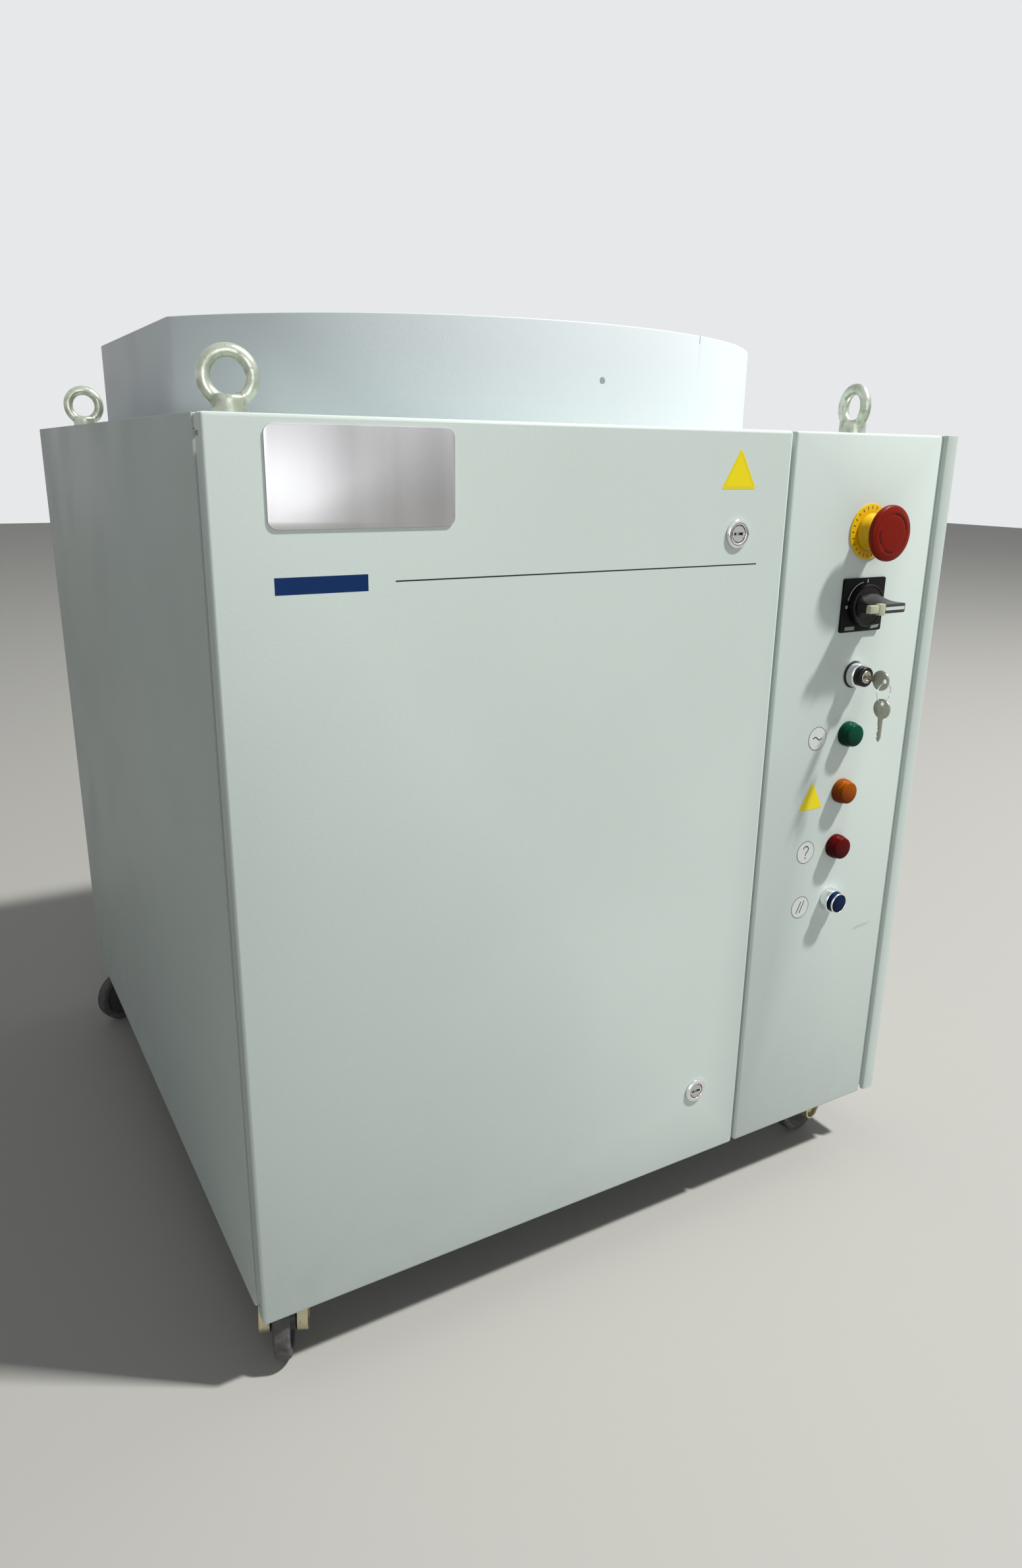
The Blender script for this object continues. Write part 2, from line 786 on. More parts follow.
SHEET, HEM, FOOT = 0.002, 0.007, 0.016
section = [
    (0, collar_low),
    (0, collar_high),
    (HEM, collar_high),
    (HEM, collar_high - SHEET),
    (SHEET, collar_high - SHEET),
    (SHEET, collar_low + SHEET),
    (FOOT, collar_low + SHEET),
    (FOOT, collar_low),
]
section = eased(section, 0.0012, closed=True)
collar_finish = powder_coat("powder coat of the collar", (0.68, 0.73, 0.755), 0.44, gloss=0.30)
collar = piece("collar", carried(path, section), collar_finish, stands_for=("cable_collar",), smooth=30)
tell("collar")

# %% [markdown]
# The collar has a small round hole low in its front and a short slit in its upper edge, where a tie
# can be threaded. Both are cut with a boolean, whose tool is removed once the cut is a plain mesh.


# %% Holes
def drilled(made, bm, place, smooth=35):
    """Cuts a shape out of a piece."""
    bmesh.ops.recalc_face_normals(placed(bm, place), faces=bm.faces)
    cutter = add_object("cutter", to_mesh("cutter", bm))
    boolean = made.modifiers.new("hole", "BOOLEAN")
    boolean.operation = "DIFFERENCE"
    boolean.object = cutter
    settle(made)
    made.data.set_sharp_from_angle(angle=math.radians(smooth))
    bpy.data.objects.remove(cutter)


def drill(radius, low, high):
    """A round tool that cuts between two heights."""
    return turned([(0, low), (radius, low), (radius, high), (0, high)], 32)


hole_place = Matrix.Translation(at(433, 103, 895.3)) @ spin(90, "X")
drilled(collar, drill(3.5, -6, 6), hole_place)
slit = slab(oblong(-0.8, -6, 0.8, 6), -9, 9)
slit_place = Matrix.Translation(at(576.5, 131, 949)) @ Matrix.Rotation(0.35, 4, "Z")
drilled(collar, slit, slit_place)
print("collar faces after its cuts", len(collar.data.polygons))

# %% [markdown]
# ## Repeats with Geometry Nodes
#
# Screws, ribs, slots and tick marks repeat by a rule: so many, at even steps, along a line or round a
# circle. A Geometry Nodes tree says exactly that, with named inputs for the sizes. Each tree here
# ends in Realize Instances and Set Material, and its result is kept as a plain mesh.


# %% Trees with named inputs
class Recipe:
    """A Geometry Nodes tree that is built node by node."""

    def __init__(self, name, inputs):
        self.tree = bpy.data.node_groups.new(name, "GeometryNodeTree")
        interface = self.tree.interface
        interface.new_socket("Geometry", in_out="OUTPUT", socket_type="NodeSocketGeometry")
        self.sockets = {
            label: interface.new_socket(label, in_out="INPUT", socket_type="NodeSocket" + kind)
            for label, kind in {**inputs, "Finish": "Material"}.items()
        }
        self.inlet = self.tree.nodes.new("NodeGroupInput")

    def __getitem__(self, label):
        return self.inlet.outputs[label]

    def node(self, kind, inputs, **settings):
        made = self.tree.nodes.new(kind)
        for label, value in settings.items():
            setattr(made, label, value)
        for label, value in inputs.items():
            slot = made.inputs[label]
            if isinstance(value, bpy.types.NodeSocket):
                self.tree.links.new(value, slot)
            else:
                slot.default_value = value
        return made.outputs[0]

    def end(self, points, instance, **turns):
        """Puts an instance on every point and makes the result real."""
        copies = {"Points": points, "Instance": instance, **turns}
        geometry = self.node("GeometryNodeInstanceOnPoints", copies)
        real = self.node("GeometryNodeRealizeInstances", {"Geometry": geometry})
        dressed = self.node("GeometryNodeSetMaterial", {"Geometry": real, "Material": self["Finish"]})
        outlet = self.tree.nodes.new("NodeGroupOutput")
        self.tree.links.new(dressed, outlet.inputs[0])

    def grow(self, name, finish, place, values):
        """The tree's result as a plain piece on the cabinet."""
        carrier = add_object(name, bpy.data.meshes.new(name))
        modifier = carrier.modifiers.new("repeat", "NODES")
        modifier.node_group = self.tree
        for label, value in {**values, "Finish": finish.material}.items():
            modifier[self.sockets[label].identifier] = value
        settle(carrier)
        carrier.data.transform(place)
        shade_edges(carrier, 35)
        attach(carrier, "cabinet")


# %% Screws along a line
screw_row = Recipe("screws along a line", {
    "From": "Vector", "To": "Vector", "Count": "Int", "Head": "Float", "Rise": "Float", "Socket": "Float",
})
ends = {"Count": screw_row["Count"], "Start Location": screw_row["From"], "Offset": screw_row["To"]}
line = screw_row.node("GeometryNodeMeshLine", ends, mode="END_POINTS")
cone = {"Vertices": 24, "Radius Bottom": screw_row["Head"], "Radius Top": screw_row["Socket"]}
head = screw_row.node("GeometryNodeMeshCone", {**cone, "Depth": screw_row["Rise"]})
six_sided = {"Vertices": 6, "Radius": screw_row["Socket"], "Depth": 0.004}
recess = screw_row.node("GeometryNodeMeshCylinder", six_sided)
sunk = {"Geometry": recess, "Translation": (0, 0, 0.0028), "Scale": (0.8, 0.8, 1)}
recess = screw_row.node("GeometryNodeTransform", sunk)
halves = {"Mesh 1": head, "Mesh 2": recess}
screw_row.end(line, screw_row.node("GeometryNodeMeshBoolean", halves, operation="DIFFERENCE"))

# %% Bars round a circle
bar_ring = Recipe("bars round a circle", {"Radius": "Float", "Count": "Int", "Size": "Vector"})
hoop = {"Vertices": bar_ring["Count"], "Radius": bar_ring["Radius"]}
circle = bar_ring.node("GeometryNodeMeshCircle", hoop)
number = bar_ring.node("GeometryNodeInputIndex", {})
whole_turn = bar_ring.node("ShaderNodeMath", {0: 2 * math.pi, 1: bar_ring["Count"]}, operation="DIVIDE")
angle = bar_ring.node("ShaderNodeMath", {0: number, 1: whole_turn}, operation="MULTIPLY")
turn = bar_ring.node("ShaderNodeCombineXYZ", {"Z": angle})
facing = bar_ring.node("FunctionNodeEulerToRotation", {0: turn})
bar_ring.end(circle, bar_ring.node("GeometryNodeMeshCube", {"Size": bar_ring["Size"]}), Rotation=facing)

# %% Slots in a grid
slot_grid = Recipe("slots in a grid", {
    "Width": "Float", "Height": "Float", "Columns": "Int", "Rows": "Int", "Size": "Vector",
})
spread = {"Size X": slot_grid["Width"], "Size Y": slot_grid["Height"]}
counts = {"Vertices X": slot_grid["Columns"], "Vertices Y": slot_grid["Rows"]}
grid = slot_grid.node("GeometryNodeMeshGrid", {**spread, **counts})
slot_grid.end(grid, slot_grid.node("GeometryNodeMeshCube", {"Size": slot_grid["Size"]}))
print("recipes", len(bpy.data.node_groups))

# %% [markdown]
# Where screws belong: the collar's foot is screwed to the top plate inside the tray, and the rear
# panel is screwed to the returns of the side panels. Both rows stand on flat sheet.

# %% Screws
SCREW = {"Head": 0.0048, "Rise": 0.0026, "Socket": 0.0026}


def screws(name, start, end, count, turn=Matrix.Identity(4)):
    """A row of screws between two places, with their heads along Z or turned."""
    back = turn.inverted()
    ends = {"From": tuple(back @ Vector(start)), "To": tuple(back @ Vector(end))}
    screw_row.grow(name, steel_finish, turn, {**SCREW, "Count": count, **ends})


foot_top = collar_low + SHEET + 0.0012
inset = 0.010
row_front, row_rear = at(0, 340, 0).y, at(0, 660, 0).y
for side, x in (("left", collar_left + inset), ("right", collar_right - inset)):
    screws(side + "_foot_screws", (x, row_front, foot_top), (x, row_rear, foot_top), 4)
row_inset = slant + 0.04
y = collar_rear - inset
screws("rear_foot_screws", (collar_left + row_inset, y, foot_top), (collar_right - row_inset, y, foot_top), 4)
y, half_row = collar_front + 0.0225, 0.10
screws("front_foot_screws", (axis_x - half_row, y, foot_top), (axis_x + half_row, y, foot_top), 2)

rear_low, rear_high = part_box("rear_panel")
y = rear_high.y + 0.0012
for side, x in (("left", rear_low.x + 0.0085), ("right", rear_high.x - 0.0085)):
    screws(f"rear_{side}_screws", (x, y, rear_low.z + 0.05), (x, y, rear_high.z - 0.05), 5, spin(-90, "X"))
tell("screws")

# %% [markdown]
# ## Lifting eyes
#
# An eyebolt is forged: a round ring that flows into a stout round foot. Two separate shapes would show
# a hard crease, so the ring and foot are joined, remeshed into even cells and smoothed, which leaves
# the soft fillets of a forging.


# %% Lifting eyes
EYE_TURNS = {"front_left": -14, "front_right": 80, "rear_left": -10, "rear_right": 12}
PLATE_TOP = at(0, 0, 850.3).z


def hexagon(reach):
    """The outline of a nut, from its middle to its corners."""
    return arc(reach, 0, 300, 5)


def forged_eye(corner):
    centre = middle(corner + "_eyebolt")
    ring = turned(arc(6.3, 0, 342, 19, (20.5, 0)), 64, closed=True)
    eye = placed(ring, shift(0, 0, 32) @ spin(90, "X"))
    foot = turned(eased([(0, 0.05), (15.4, 0.05), (15.4, 15.3), (13.4, 17.4), (0, 17.4)], 1.5), 48)
    place = Matrix.Translation(Vector((centre.x, centre.y, PLATE_TOP)))
    twisted = place @ spin(EYE_TURNS[corner], "Z")
    stands_for = (corner + "_eyebolt",)
    made = piece(corner + "_lifting_eye", join_shapes(eye, foot), eye_finish, twisted, stands_for, smooth=180)
    remesh = made.modifiers.new("forge", "REMESH")
    remesh.mode = "VOXEL"
    remesh.voxel_size = 0.0010
    soften = made.modifiers.new("soften", "SMOOTH")
    soften.factor = 0.6
    soften.iterations = 6
    settle(made)
    made.data.shade_smooth()
    nut = slab(hexagon(10.4), -12.4, -2.8, 0.5)
    stud = turned(eased([(0, -14.3), (5.9, -14.3), (5.9, 0), (0, 0)], 0.6), 24)
    piece(corner + "_eye_nut", join_shapes(nut, stud), steel_finish, place)


for corner in CORNERS:
    forged_eye(corner)
tell("lifting eyes and nuts")

# %% [markdown]
# ## Plate and prints on the door
#
# The plate at the top left of the door is brushed steel with rounded corners. Below it a thin dark
# rule and a blue bar are printed on the coat. A print is a slab a tenth of a millimetre thick, so it
# has real edges and still lies flat.

# %% Plate and prints
low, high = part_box("name_plate")
outline = rounded((high.x - low.x) / MM, (high.z - low.z) / MM, 8, 10)
plate_place = facing_front(*on_front("name_plate"))
piece("plate", slab(outline, 0.3, 1.5, 0.35), plate_finish, plate_place, ("name_plate",), "door")


def label(name, outline, finish, x, z, low=0.02, high=0.22, body="cabinet"):
    piece(name, slab(outline, low, high), finish, facing_front(x, z), body=body)


label("rule", oblong(0, -0.6, 408, 0.6), ink_finish, 156, 718, 0.01, 0.08, "door")
label("blue_bar", oblong(0, 0, 81, 14), blue_print_finish, 50, 711, 0.01, 0.08, "door")
tell("plate and prints")

# %% [markdown]
# ## Triangles and round labels
#
# Beside the lamps sit thin vinyl labels: white discs with a black rim and a simple sign, and a yellow
# triangle. The signs are drawn as lines of a width, so a wave or a hook is a few points on a curve.


# %% Triangles
def triangle(side):
    """A triangle standing on its base, with small round corners."""
    rise = side * math.sqrt(3) / 2
    return eased([(-side / 2, -rise / 3), (side / 2, -rise / 3), (0, 2 * rise / 3)], 3.0, True, 4)


LABEL_X = 680
TRIANGLE_X, TRIANGLE_Z = 532.6, 806
label("door_triangle", triangle(45), sticker_finish, TRIANGLE_X, TRIANGLE_Z, body="door")
label("panel_triangle", triangle(38), sticker_finish, LABEL_X, 441)
edge_finish = plastic("darker yellow print", (0.62, 0.46, 0.01), 0.42)
edge = [(x * 0.86, z * 0.86) for x, z in triangle(45) + triangle(45)[:1]]
label("door_triangle_edge", strip(edge, 0.5), edge_finish, TRIANGLE_X, TRIANGLE_Z, 0.2, 0.25, "door")
tell("triangles")

# %% Round labels
DISC, RIM = 13.4, 0.5
MAINS_Z, QUESTION_Z, RESET_Z = 516, 376, 305


def sign(name, outline, z):
    """A black sign on a round label."""
    label(name, outline, ink_finish, LABEL_X, z, 0.2, 0.27)


for name, z in (("mains_label", MAINS_Z), ("question_label", QUESTION_Z), ("reset_label", RESET_Z)):
    label(name, arc(DISC, 0, 360, 48)[:-1], white_finish, LABEL_X, z)
    rim = turned(oblong(DISC, 0.20, DISC + RIM, 0.27), 64, closed=True)
    piece(name + "_ring", rim, ink_finish, facing_front(LABEL_X, z))
wave = [(-7 + 14 * step / 24, 1.9 * math.sin(2 * math.pi * step / 24)) for step in range(25)]
sign("wave_sign", strip(wave, 1.3), MAINS_Z)
for index, x in enumerate((-2.6, 2.6)):
    sign(f"reset_sign_{index}", strip([(x - 3.4, -7.4), (x + 3.4, 7.4)], 1.2), RESET_Z)
hook = arc(4.0, 170, -40, 16, (0, 3.6)) + [(0.6, -1.6), (0, -4.2)]
sign("question_sign", strip(hook, 1.3), QUESTION_Z)
sign("question_dot", arc(0.95, 0, 360, 16, (0, -7.2))[:-1], QUESTION_Z)
tell("round labels")

# %% [markdown]
# ## Emergency stop
#
# A yellow disc lies flat on the panel and a yellow collar rises from it. The mushroom head is wide and
# low, with a rounded rim, a shallow ring pressed into its face and three dark arcs in that ring. Ticks
# round the disc let the eye follow the head as it is twisted.

# %% Emergency stop
stop_place = facing_front(*on_front("estop_head"))
legend = turned(eased(oblong(11.4, 0.3, 30, 1.5), 0.3, True, 2), 96, closed=True)
piece("stop_legend", legend, yellow_finish, stop_place, ("estop_legend",))
body = [
    (0, -3), (11, -3), (11, 1.8), (20, 1.8), (20, 3.6), (17.8, 7.6), (16.2, 15), (6.6, 15), (6.6, 4), (0, 4),
]
lathe("stop_collar", body, 0.8, yellow_finish, stop_place, ("estop_body",), steps=96)
block = slab(oblong(-16, -16, 16, 16), -41.8, -1.8, 1.0)
piece("stop_contact_block", block, dark_finish, stop_place)
head = [
    (0, 28.5), (6.4, 28.5), (6.4, 20.8), (13, 20.8), (28.4, 24.8), (30, 26.4), (30, 30.1), (28.7, 31.8),
    (25.5, 32.7), (22.6, 33.3), (21.8, 33.0), (18.8, 33.0), (18.0, 33.4), (9, 33.5), (0, 33.5),
]
lathe("stop_head", head, 1.0, red_finish, stop_place, ("estop_head",), "estop_head", 96)
groove_finish = plastic("red plastic in the arcs", (0.035, 0.004, 0.003), 0.5, gloss=0.10)
spans = ((12, 86), (171, 211), (238, 278))
arcs = [slab(strip(arc(20.3, start, end, 20), 1.5), 32.9, 33.06) for start, end in spans]
piece("stop_arcs", join_shapes(*arcs), groove_finish, stop_place, body="estop_head")
ticks = {"Radius": 0.0262, "Count": 24, "Size": (0.0032, 0.0009, 0.0002)}
bar_ring.grow("stop_ticks", ink_finish, stop_place @ shift(0, 0, 1.55), ticks)
tell("emergency stop")

# %% [markdown]
# ## Main switch
#
# The handle is a round dial with a grip that starts wide and is pinched into a long bar, so that its
# flanks are hollow. That is a loft: a row of rounded outlines, each a little higher, longer and
# slimmer than the last. A cream tab for a padlock sits in a notch in its left end, and the front edge
# carries a white line. The plate behind it has an arc with 0 and I.

# %% Switch plate
low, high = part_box("switch_plate")
switch_x, switch_z = on_front("switch_plate")
switch_place = facing_front(switch_x, switch_z)
plate_outline = rounded((high.x - low.x) / MM, (high.z - low.z) / MM, 2.4)
plate_slab = slab(plate_outline, 0.3, 3.3, 0.5)
switch_face = piece("switch_face", plate_slab, plate_black_finish, switch_place, ("switch_plate",))
drilled(switch_face, drill(4.3, -2, 6), switch_place)
tell("switch plate")


# %% Switch handle
def lofted(sections):
    """A closed skin through outlines that have the same number of points."""
    bm = bmesh.new()
    rings = [[bm.verts.new(Vector(point) * MM) for point in ring] for ring in sections]
    skin(bm, rings)
    bm.faces.new(rings[0][::-1])
    bm.faces.new(rings[-1])
    return bm


def grip_outline(share):
    """The grip's outline at a share of its height: longer towards the front, and slimmer."""
    reach, flare = share ** 2, (1 - share) ** 3
    return 41 + 13 * reach, 10.5 + 18.5 * flare, 2.2 + 9.8 * flare


LEVELS, GRIP_FOOT, GRIP_RISE = 16, 9.6, 28.9
sections = []
for step in range(LEVELS + 1):
    share = step / LEVELS
    level = GRIP_FOOT + GRIP_RISE * share
    sections.append([(x, y, level) for x, y in rounded(*grip_outline(share))])
sections.append([(x, y, 39.0) for x, y in rounded(53.0, 9.5, 1.7)])
grip = piece("switch_grip", lofted(sections), satin_black_finish, switch_place, (), "switch_handle", 50)
drilled(grip, slab(oblong(-30, -18, -4.7, 18), 32.5, 44), switch_place, 50)
drilled(grip, slab(oblong(-30, -1.8, -8.7, 1.8), 27.5, 33), switch_place, 50)
dial = [
    (0, -12), (4, -12), (4, 3.6), (23.5, 3.6), (23.5, 11.0), (22.6, 12.4), (21.6, 12.4), (20.8, 11.6),
    (0, 11.6),
]
lathe("switch_dial", dial, 0.7, black_finish, switch_place, ("switch_handle",), "switch_handle", 96)
stripe = slab(oblong(-4.2, -1.75, 25.6, 1.75), 38.9, 39.05)
piece("switch_stripe", stripe, white_finish, switch_place, body="switch_handle")
tell("switch handle")

# %% Padlock tab
tab = join_shapes(
    slab(eased(oblong(-28, -4.3, -14.0, 4.3), 0.8, True), 32.8, 39.0, 0.5),
    slab(eased(oblong(-14.5, -6.8, -5, 5.6), 1.6, True), 32.8, 39.6, 0.6),
    slab(oblong(-21, -1.5, -9, 1.5), 27.8, 33.2, 0.2),
)
piece("switch_tab", tab, cream_finish, switch_place, ("padlock_tab",), "padlock_tab")
tell("padlock tab")

# %% Marks on the switch plate
MARK_RADIUS, MARK_LOW, MARK_HIGH = 25.4, 3.25, 3.4


def mark(name, outline, finish=white_finish, high=MARK_HIGH):
    """A print on the switch plate."""
    label(name, outline, finish, switch_x, switch_z, MARK_LOW, high)


mark("switch_arc", strip(arc(MARK_RADIUS, 166, 98, 24), 0.8))
for index, (angle, barbs) in enumerate(((168, 163), (96, 101))):
    tip = [polar(MARK_RADIUS, angle), polar(24.2, barbs), polar(26.6, barbs)]
    mark(f"switch_arrow_{index}", tip)
mark("switch_on_mark", strip([(3.4, 24.6), (3.6, 28.2)], 1.1))
zero = turned(oblong(0.9, MARK_LOW, 1.7, MARK_HIGH), 24, closed=True)
piece("switch_off_mark", zero, white_finish, facing_front(switch_x - 26.4, switch_z - 1.4))
field_finish = plastic("pale grey print", (0.22, 0.26, 0.25), 0.45, wear=0.10)
mark("switch_field_left", oblong(-25.5, -27.8, -10.5, -23.8), field_finish, 3.36)
right_field = [(15.0, -27.8), (27.5, -27.0), (29.5, -23.2), (17.0, -24.2)]
mark("switch_field_right", right_field, field_finish, 3.36)
softened("switch_body", grey_finish)
tell("marks and the body behind the panel")

# %% [markdown]
# ## Key switch and keys
#
# A key is cut from flat stock: a round bow with a hole, a neck and a blade with notches along one
# edge. Both keys share one outline, and the spare one hangs from a wire ring. The ring is two turns
# of wire pressed together, so it is drawn as a thin double ring.

# %% Key switch
key_place = facing_front(*on_front("key_switch"))
gasket = oblong(10, 0.3, 15.5, 2.0)
lathe("key_gasket", gasket, 0.5, foam_finish, key_place, closed=True)
bezel = [(10.5, 2.0), (14.4, 2.0), (14.4, 10.8), (13.2, 12.0), (10.5, 12.0)]
lathe("key_bezel", bezel, 0.5, chrome_finish, key_place, closed=True)
nose = [
    (0, -37.8), (13.9, -37.8), (13.9, -1.8), (11, -1.8), (11, 3), (11.4, 12.0), (11.4, 19.2), (10.6, 20),
    (8.0, 20), (8.0, 4.8), (0, 4.8),
]
lathe("key_nose", nose, 0.4, black_finish, key_place, ("key_switch",))
tell("key switch")


# %% Keys
BOW, NECK, STOCK = 11.4, 3.4, 1.7
NOTCH_DEPTHS = (1.0, 0.2, 1.5, 0.6)


def key_blank(length, notches):
    """A flat key from its bow, at the origin, to its tip along +X."""
    start = math.degrees(math.asin(NECK / BOW))
    reach = BOW + length
    lower = [(12.5, -2.6), (reach - 5, -2.6), (reach, -0.6)]
    upper = [(reach, 0.4), (reach - 2.6, 2.4)]
    for index in range(notches):
        x = reach - 4.2 - 3.4 * index
        bottom = 2.6 - NOTCH_DEPTHS[index]
        upper += [(x, 2.6), (x - 1.1, bottom), (x - 2.0, bottom), (x - 3.0, 2.6)]
    outline = arc(BOW, start, 360 - start, 40) + lower + upper + [(12.5, NECK)]
    return slab(outline, -STOCK / 2, STOCK / 2, 0.22)


key_front = (home.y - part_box("key")[0].y) / MM
barrel_profile = [(0, 5.2), (7.4, 5.2), (7.4, 20.0), (6.8, 20.6), (3.6, 20.6), (3.6, 19.6), (0, 19.6)]
barrel = turned(eased(barrel_profile, 0.3), 48)
bow = placed(key_blank(10.5, 0), shift(0, 0, key_front - 11.5) @ spin(90, "Y"))
key = piece("switch_key", join_shapes(barrel, bow), key_finish, key_place, ("key",), "key")
drilled(key, drill(2.75, -3, 3), key_place @ shift(0, 0, key_front - 5.5) @ spin(90, "Y"))

wires = [arc(0.36, 0, 324, 9, (10.98, offset)) for offset in (-0.34, 0.34)]
loops = join_shapes(*[turned(wire, 72, closed=True) for wire in wires])
ring_place = Matrix.Translation(middle("key_ring")) @ spin(90, "X")
piece("split_ring", loops, chrome_finish, ring_place, ("key_ring",), "key_ring")

low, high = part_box("spare_key")
spare_centre = Vector(((low.x + high.x) / 2, (low.y + high.y) / 2, high.z - 0.0115))
hanging = Matrix.Translation(spare_centre) @ spin(90, "Y")
spare = piece("hanging_key", key_blank(26.6, 4), key_finish, hanging, ("spare_key",), "spare_key")
drilled(spare, drill(2.75, -3, 3), hanging @ shift(-6, 0, 0))
tell("keys and ring")

# %% [markdown]
# ## Lamps and the lit button
#
# Each lamp is one moulded cap: a flange that clamps on the panel and a smaller cap with a soft front
# edge. The rings inside it come from the finish. The lowest one is a push button: a bright sleeve, and
# a blue cap that stands out of it with a bright rim round its face.

# %% Lamps
LENSES = {
    "green_lamp": ((0.001, 0.050, 0.028), (0.004, 0.140, 0.082)),
    "orange_lamp": ((0.27, 0.050, 0.001), (0.62, 0.20, 0.004)),
    "red_lamp": ((0.085, 0.0005, 0.0007), (0.20, 0.006, 0.004)),
}
lamp_profile = [
    (0, -37.8), (13.8, -37.8), (13.8, -1.8), (11, -1.8), (11, 0.3), (14.5, 0.3), (14.5, 8.1), (13.7, 8.8),
    (13.2, 13.0), (12.7, 14.2), (11.6, 14.8), (6, 15.0), (0, 15.1),
]
lamp_ribs = {"Radius": 0.01405, "Count": 48, "Size": (0.0012, 0.0007, 0.0062)}
for name, (tone, glow) in LENSES.items():
    finish = lens(name.replace("_", " ") + " lens", tone, glow, middle(name))
    place = facing_front(*on_front(name))
    lathe(name + "_cap", lamp_profile, 0.7, finish, place, (name,))
    bar_ring.grow(name + "_ribs", finish, place @ shift(0, 0, 4.4), lamp_ribs)
tell("lamps")

# %% Button
button_place = facing_front(*on_front("reset_button"))
sleeve = [
    (0, -18.1), (5.4, -18.1), (5.4, 4.7), (12.9, 4.7), (12.9, 11.0), (13.5, 11.0), (14.5, 10.0), (14.5, 0.3),
    (11, 0.3), (11, -1.8), (13.9, -1.8), (13.9, -37.8), (0, -37.8),
]
lathe("button_sleeve", sleeve, 0.4, chrome_finish, button_place, ("reset_bezel",))
blue_finish = lens("blue lens", (0.001, 0.010, 0.050), (0.002, 0.045, 0.15), middle("reset_button"))
cap = [
    (0, -13.8), (4.9, -13.8), (4.9, 9.0), (12.3, 9.0), (12.3, 16.8), (11.2, 16.8), (10.4, 17.2), (9.6, 18.0),
    (0, 18.2),
]
lathe("button_cap", cap, 0.4, blue_finish, button_place, ("reset_button",), "reset_button")
rim = [(11.2, 16.6), (12.5, 16.6), (12.5, 18.1), (12.1, 18.5), (11.5, 18.5), (11.2, 18.1)]
lathe("button_rim", rim, 0.3, chrome_finish, button_place, (), "reset_button", closed=True)
tell("button")

# %% [markdown]
# ## Door locks
#
# A quarter-turn lock is a chromed cup with a black insert that has a slot for a square or double-bit
# key. A small pale tooth on the rim shows where the insert stands.

# %% Locks
cup = [
    (9.0, 2.5), (9.4, 3.2), (12.9, 3.2), (14.5, 1.9), (14.5, 0.3), (11, 0.3), (11, -1.8), (15, -1.8),
    (15, -7.8), (11, -7.8), (11, -20), (4.4, -20), (4.4, -1.1), (9.0, -1.1),
]
insert = [(0, -30), (3.9, -30), (3.9, -0.7), (8.4, -0.7), (8.4, 2.3), (3.3, 2.3), (3.3, -0.4), (0, -0.4)]
for lock in ("lower_lock", "upper_lock"):
    housing = lock + "_housing"
    place = facing_front(*on_front(housing))
    lathe(lock + "_cup", cup, 0.5, chrome_finish, place, (housing,), "door", closed=True)
    lathe(lock + "_insert", insert, 0.25, black_finish, place, (), lock, 48)
    tooth = slab(oblong(5.6, -0.9, 8.2, 0.9), 2.2, 2.45)
    piece(lock + "_tooth", tooth, white_finish, place, body=lock)
    dress(frame["nodes"][lock + "_cam"], steel_finish)
tell("locks")

# %% [markdown]
# ## Casters
#
# The wheel is a hard core with a rubber tyre, and both are turned. The pressed fork keeps its CAD
# shape with eased edges. Casters stand as the last push left them, so each fork has its own turn.

# %% Casters
CASTER_TURNS = {"front_left": -23, "front_right": -80, "rear_left": -68, "rear_right": -150}
tyre = [
    (29, -6.5), (31, -8.4), (36, -8.8), (38.8, -8.2), (40, -6.4), (40, 6.4), (38.8, 8.2), (36, 8.8),
    (31, 8.4), (29, 6.5),
]
core = [
    (4.4, -13.7), (9, -13.7), (12.8, -12.4), (13.4, -6.4), (27, -6.0), (29.4, -8.4), (29.4, 8.4), (27, 6.0),
    (13.4, 6.4), (12.8, 12.4), (9, 13.7), (4.4, 13.7),
]
for corner in CORNERS:
    wheel = corner + "_wheel"
    place = Matrix.Translation(middle(wheel)) @ (spin(CASTER_TURNS[corner], "Z") @ spin(90, "Y"))
    lathe(corner + "_tyre", tyre, 1.2, tyre_finish, place, (wheel,), wheel, 96, True)
    lathe(corner + "_core", core, 0.8, dark_finish, place, (), wheel, closed=True)
    softened(corner + "_fork", fork_finish, corner + "_fork", 0.5)
tell("casters")

# %% [markdown]
# ## Glands and water nipples
#
# The glands are moulded nuts with ribs for the fingers, and the water manifold carries two hose
# nipples with barbs. They are turned like the rest, and the ribs are bars round a circle.

# %% Glands and nipples
centre = middle("cable_gland")
gland = Vector((centre.x, centre.y, PLATE_TOP))
profile = [
    (7.1, -14.5), (15.6, -14.5), (15.6, 0.1), (19.6, 0.1), (19.6, 13.4), (18.6, 14.2), (16.6, 14.4),
    (16.6, 15.6), (17.7, 16.2), (17.7, 29.0), (15.8, 34.5), (12.0, 39.9), (7.1, 39.9),
]
place = Matrix.Translation(gland)
lathe("laser_cable_gland", profile, 0.6, chrome_finish, place, ("cable_gland",), steps=64, closed=True)
ribs = {"Radius": 0.0174, "Count": 20, "Size": (0.0012, 0.0018, 0.0115)}
bar_ring.grow("laser_gland_ribs", chrome_finish, place @ shift(0, 0, 22.5), ribs)
piece("laser_gland_nut", slab(hexagon(23.4), -10.5, -2.7, 0.6), chrome_finish, place)

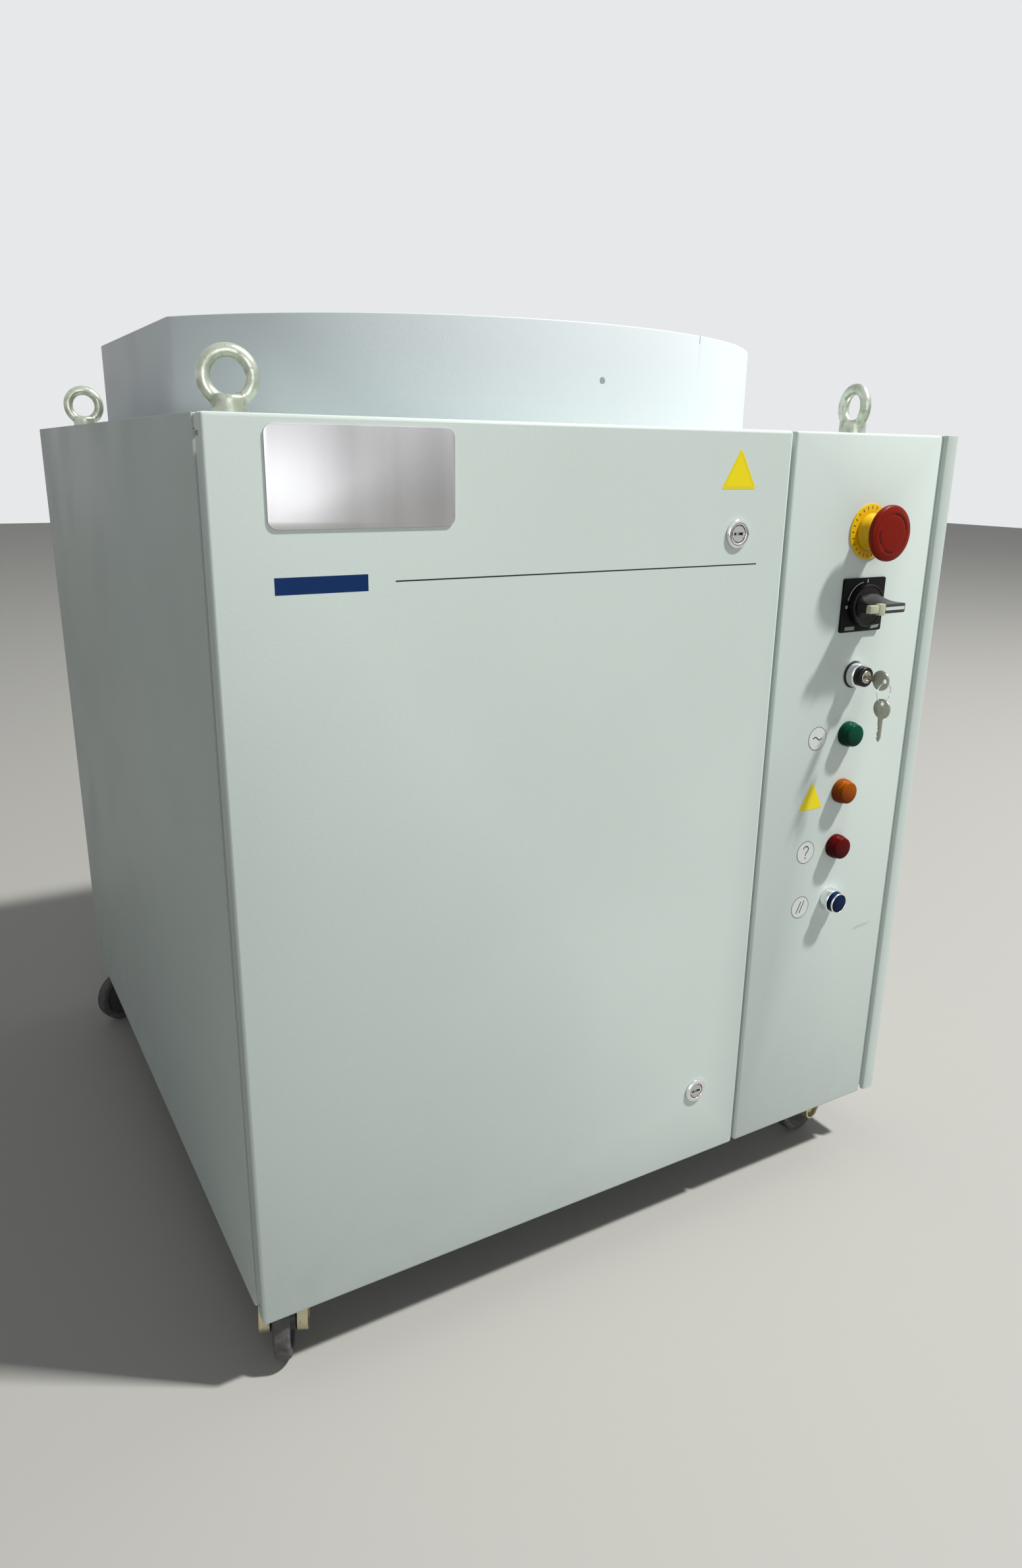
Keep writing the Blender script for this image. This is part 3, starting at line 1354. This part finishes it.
centre = middle("mains_gland")
place = facing_rear(Vector((centre.x, rear_high.y, centre.z)))
profile = [
    (6.9, -13.7), (12.4, -13.7), (12.4, -7.8), (16.4, -7.8), (16.4, -1.8), (12.4, -1.8), (12.4, 0.3),
    (16.6, 0.3), (16.6, 9.6), (14.7, 11.6), (13.6, 20.5), (11.4, 23.9), (6.9, 23.9),
]
lathe("mains_lead_gland", profile, 0.5, dark_finish, place, ("mains_gland",), steps=64, closed=True)
ribs = {"Radius": 0.01395, "Count": 18, "Size": (0.0011, 0.0016, 0.0068)}
bar_ring.grow("mains_gland_ribs", dark_finish, place @ shift(0, 0, 15.2), ribs)

centre = middle("water_manifold")
softened("water_manifold", steel_finish, width=0.5)
barb = [
    (8.2, 12), (11.4, 12), (12.4, 14.6), (11.2, 15.6), (12.3, 19.2), (11.0, 20.2), (12.0, 23.8), (10.9, 26.6),
    (10.4, 28.0), (8.2, 28.0),
]
for side, offset in (("left", -40), ("right", 40)):
    place = facing_rear(Vector((centre.x + offset * MM, rear_high.y, centre.z)))
    lathe("nipple_" + side, barb, 0.3, steel_finish, place, steps=48, closed=True)
tell("glands and nipples")

# %% [markdown]
# ## Inside the cabinet
#
# Nothing of this shows until the door is open: a rack with a power supply, three laser modules and
# the combiner on top. Each front gets two bent handles, a field of vent slots and screws in its
# corners. A handle is a rod, so a ring of points is carried along its bent line.


# %% Handles
def handle_rod(height, stand, radius=4.0, sides=14):
    """A bent rod that stands on its two ends, in millimetres."""
    half = height / 2
    points = eased([(-half, 0), (-half, stand), (half, stand), (half, 0)], 9.0, steps=6)
    bm = bmesh.new()
    rings = []
    for (along, out), aside in zip(points, asides(points)):
        ring = []
        for step in range(sides):
            angle = 2 * math.pi * step / sides
            reach = aside * radius * math.cos(angle)
            spot = Vector((radius * math.sin(angle), along + reach.x, out + reach.y))
            ring.append(bm.verts.new(spot * MM))
        rings.append(ring)
    skin(bm, rings)
    bm.faces.new(rings[0])
    bm.faces.new(rings[-1][::-1])
    return bm


# %% Modules
softened("module_rack", steel_finish)
softened("control_unit", dark_finish, width=0.8)
UNITS = {
    "power_supply": dark_finish,
    "lower_laser_module": aluminium_finish,
    "middle_laser_module": aluminium_finish,
    "upper_laser_module": aluminium_finish,
    "beam_combiner": dark_finish,
}
forwards = spin(90, "X")
for unit, finish in UNITS.items():
    softened(unit, finish, width=0.6)
    low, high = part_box(unit)
    mid = (low + high) / 2
    face = Vector((mid.x, low.y, mid.z))
    tall = (high.z - low.z) / MM
    for side, offset in (("left", -0.205), ("right", 0.205)):
        place = Matrix.Translation(face + Vector((offset, 0, 0))) @ forwards
        piece(f"{unit}_handle_{side}", handle_rod(min(tall * 0.62, 90), 26), chrome_finish, place)
    rows = max(int(tall / 16), 3)
    vents = {"Width": 0.16, "Height": (rows - 1) * 0.010, "Columns": 8, "Rows": rows}
    grid_place = Matrix.Translation(face + Vector((-0.06, -0.0001, 0))) @ forwards
    slot_grid.grow(unit + "_vents", black_finish, grid_place, {**vents, "Size": (0.015, 0.0035, 0.0004)})
    y = low.y - 0.001
    for edge, z in (("upper", high.z - 0.009), ("lower", low.z + 0.009)):
        screws(f"{unit}_{edge}_screws", (low.x + 0.012, y, z), (high.x - 0.012, y, z), 2, forwards)
tell("modules")

# %% [markdown]
# The door has a foam seal on its inside, which the edge of the opening presses into. It is a closed
# ring again: a low section carried round the door a little inside its edge.

# %% Door seal
seal_path = oblong(20, 8, 592, 842)
seal = bmesh.new()
seal_rings = []
for inset, depth in ((0, 1.6), (0, 6.0), (3, 7.2), (8, 7.2), (8, 1.6)):
    seal_rings.append([seal.verts.new(at(x, depth, z)) for x, z in inward(seal_path, inset)])
skin(seal, seal_rings, closed=True)
piece("door_seal", seal, foam_finish, body="door")
tell("door seal")

# %% [markdown]
# ## The stem and the floor
#
# The stem of the emergency stop keeps its CAD mesh, as the lock cams do, and it only gets a finish. The
# floor is a plain pale sheet, marked as stage, and is no part of the object. It looks paler than it
# lights the cabinet from below, so that the shadows keep their depth.

# %% Stem and floor
dress(frame["nodes"]["estop_stem"], steel_finish)

floor_finish = Finish("pale floor", {"Roughness": 0.75})
shown = floor_finish.looked_at()
floor_finish.set({"Base Color": floor_finish.mix(shown, (0.25, 0.247, 0.235), (0.43, 0.425, 0.40))})
bm = bmesh.new()
bmesh.ops.create_grid(bm, x_segments=1, y_segments=1, size=14)
floor = add_object("floor", to_mesh("floor", bm))
dress(floor, floor_finish)
floor.location.z = -0.0005
tell("floor")
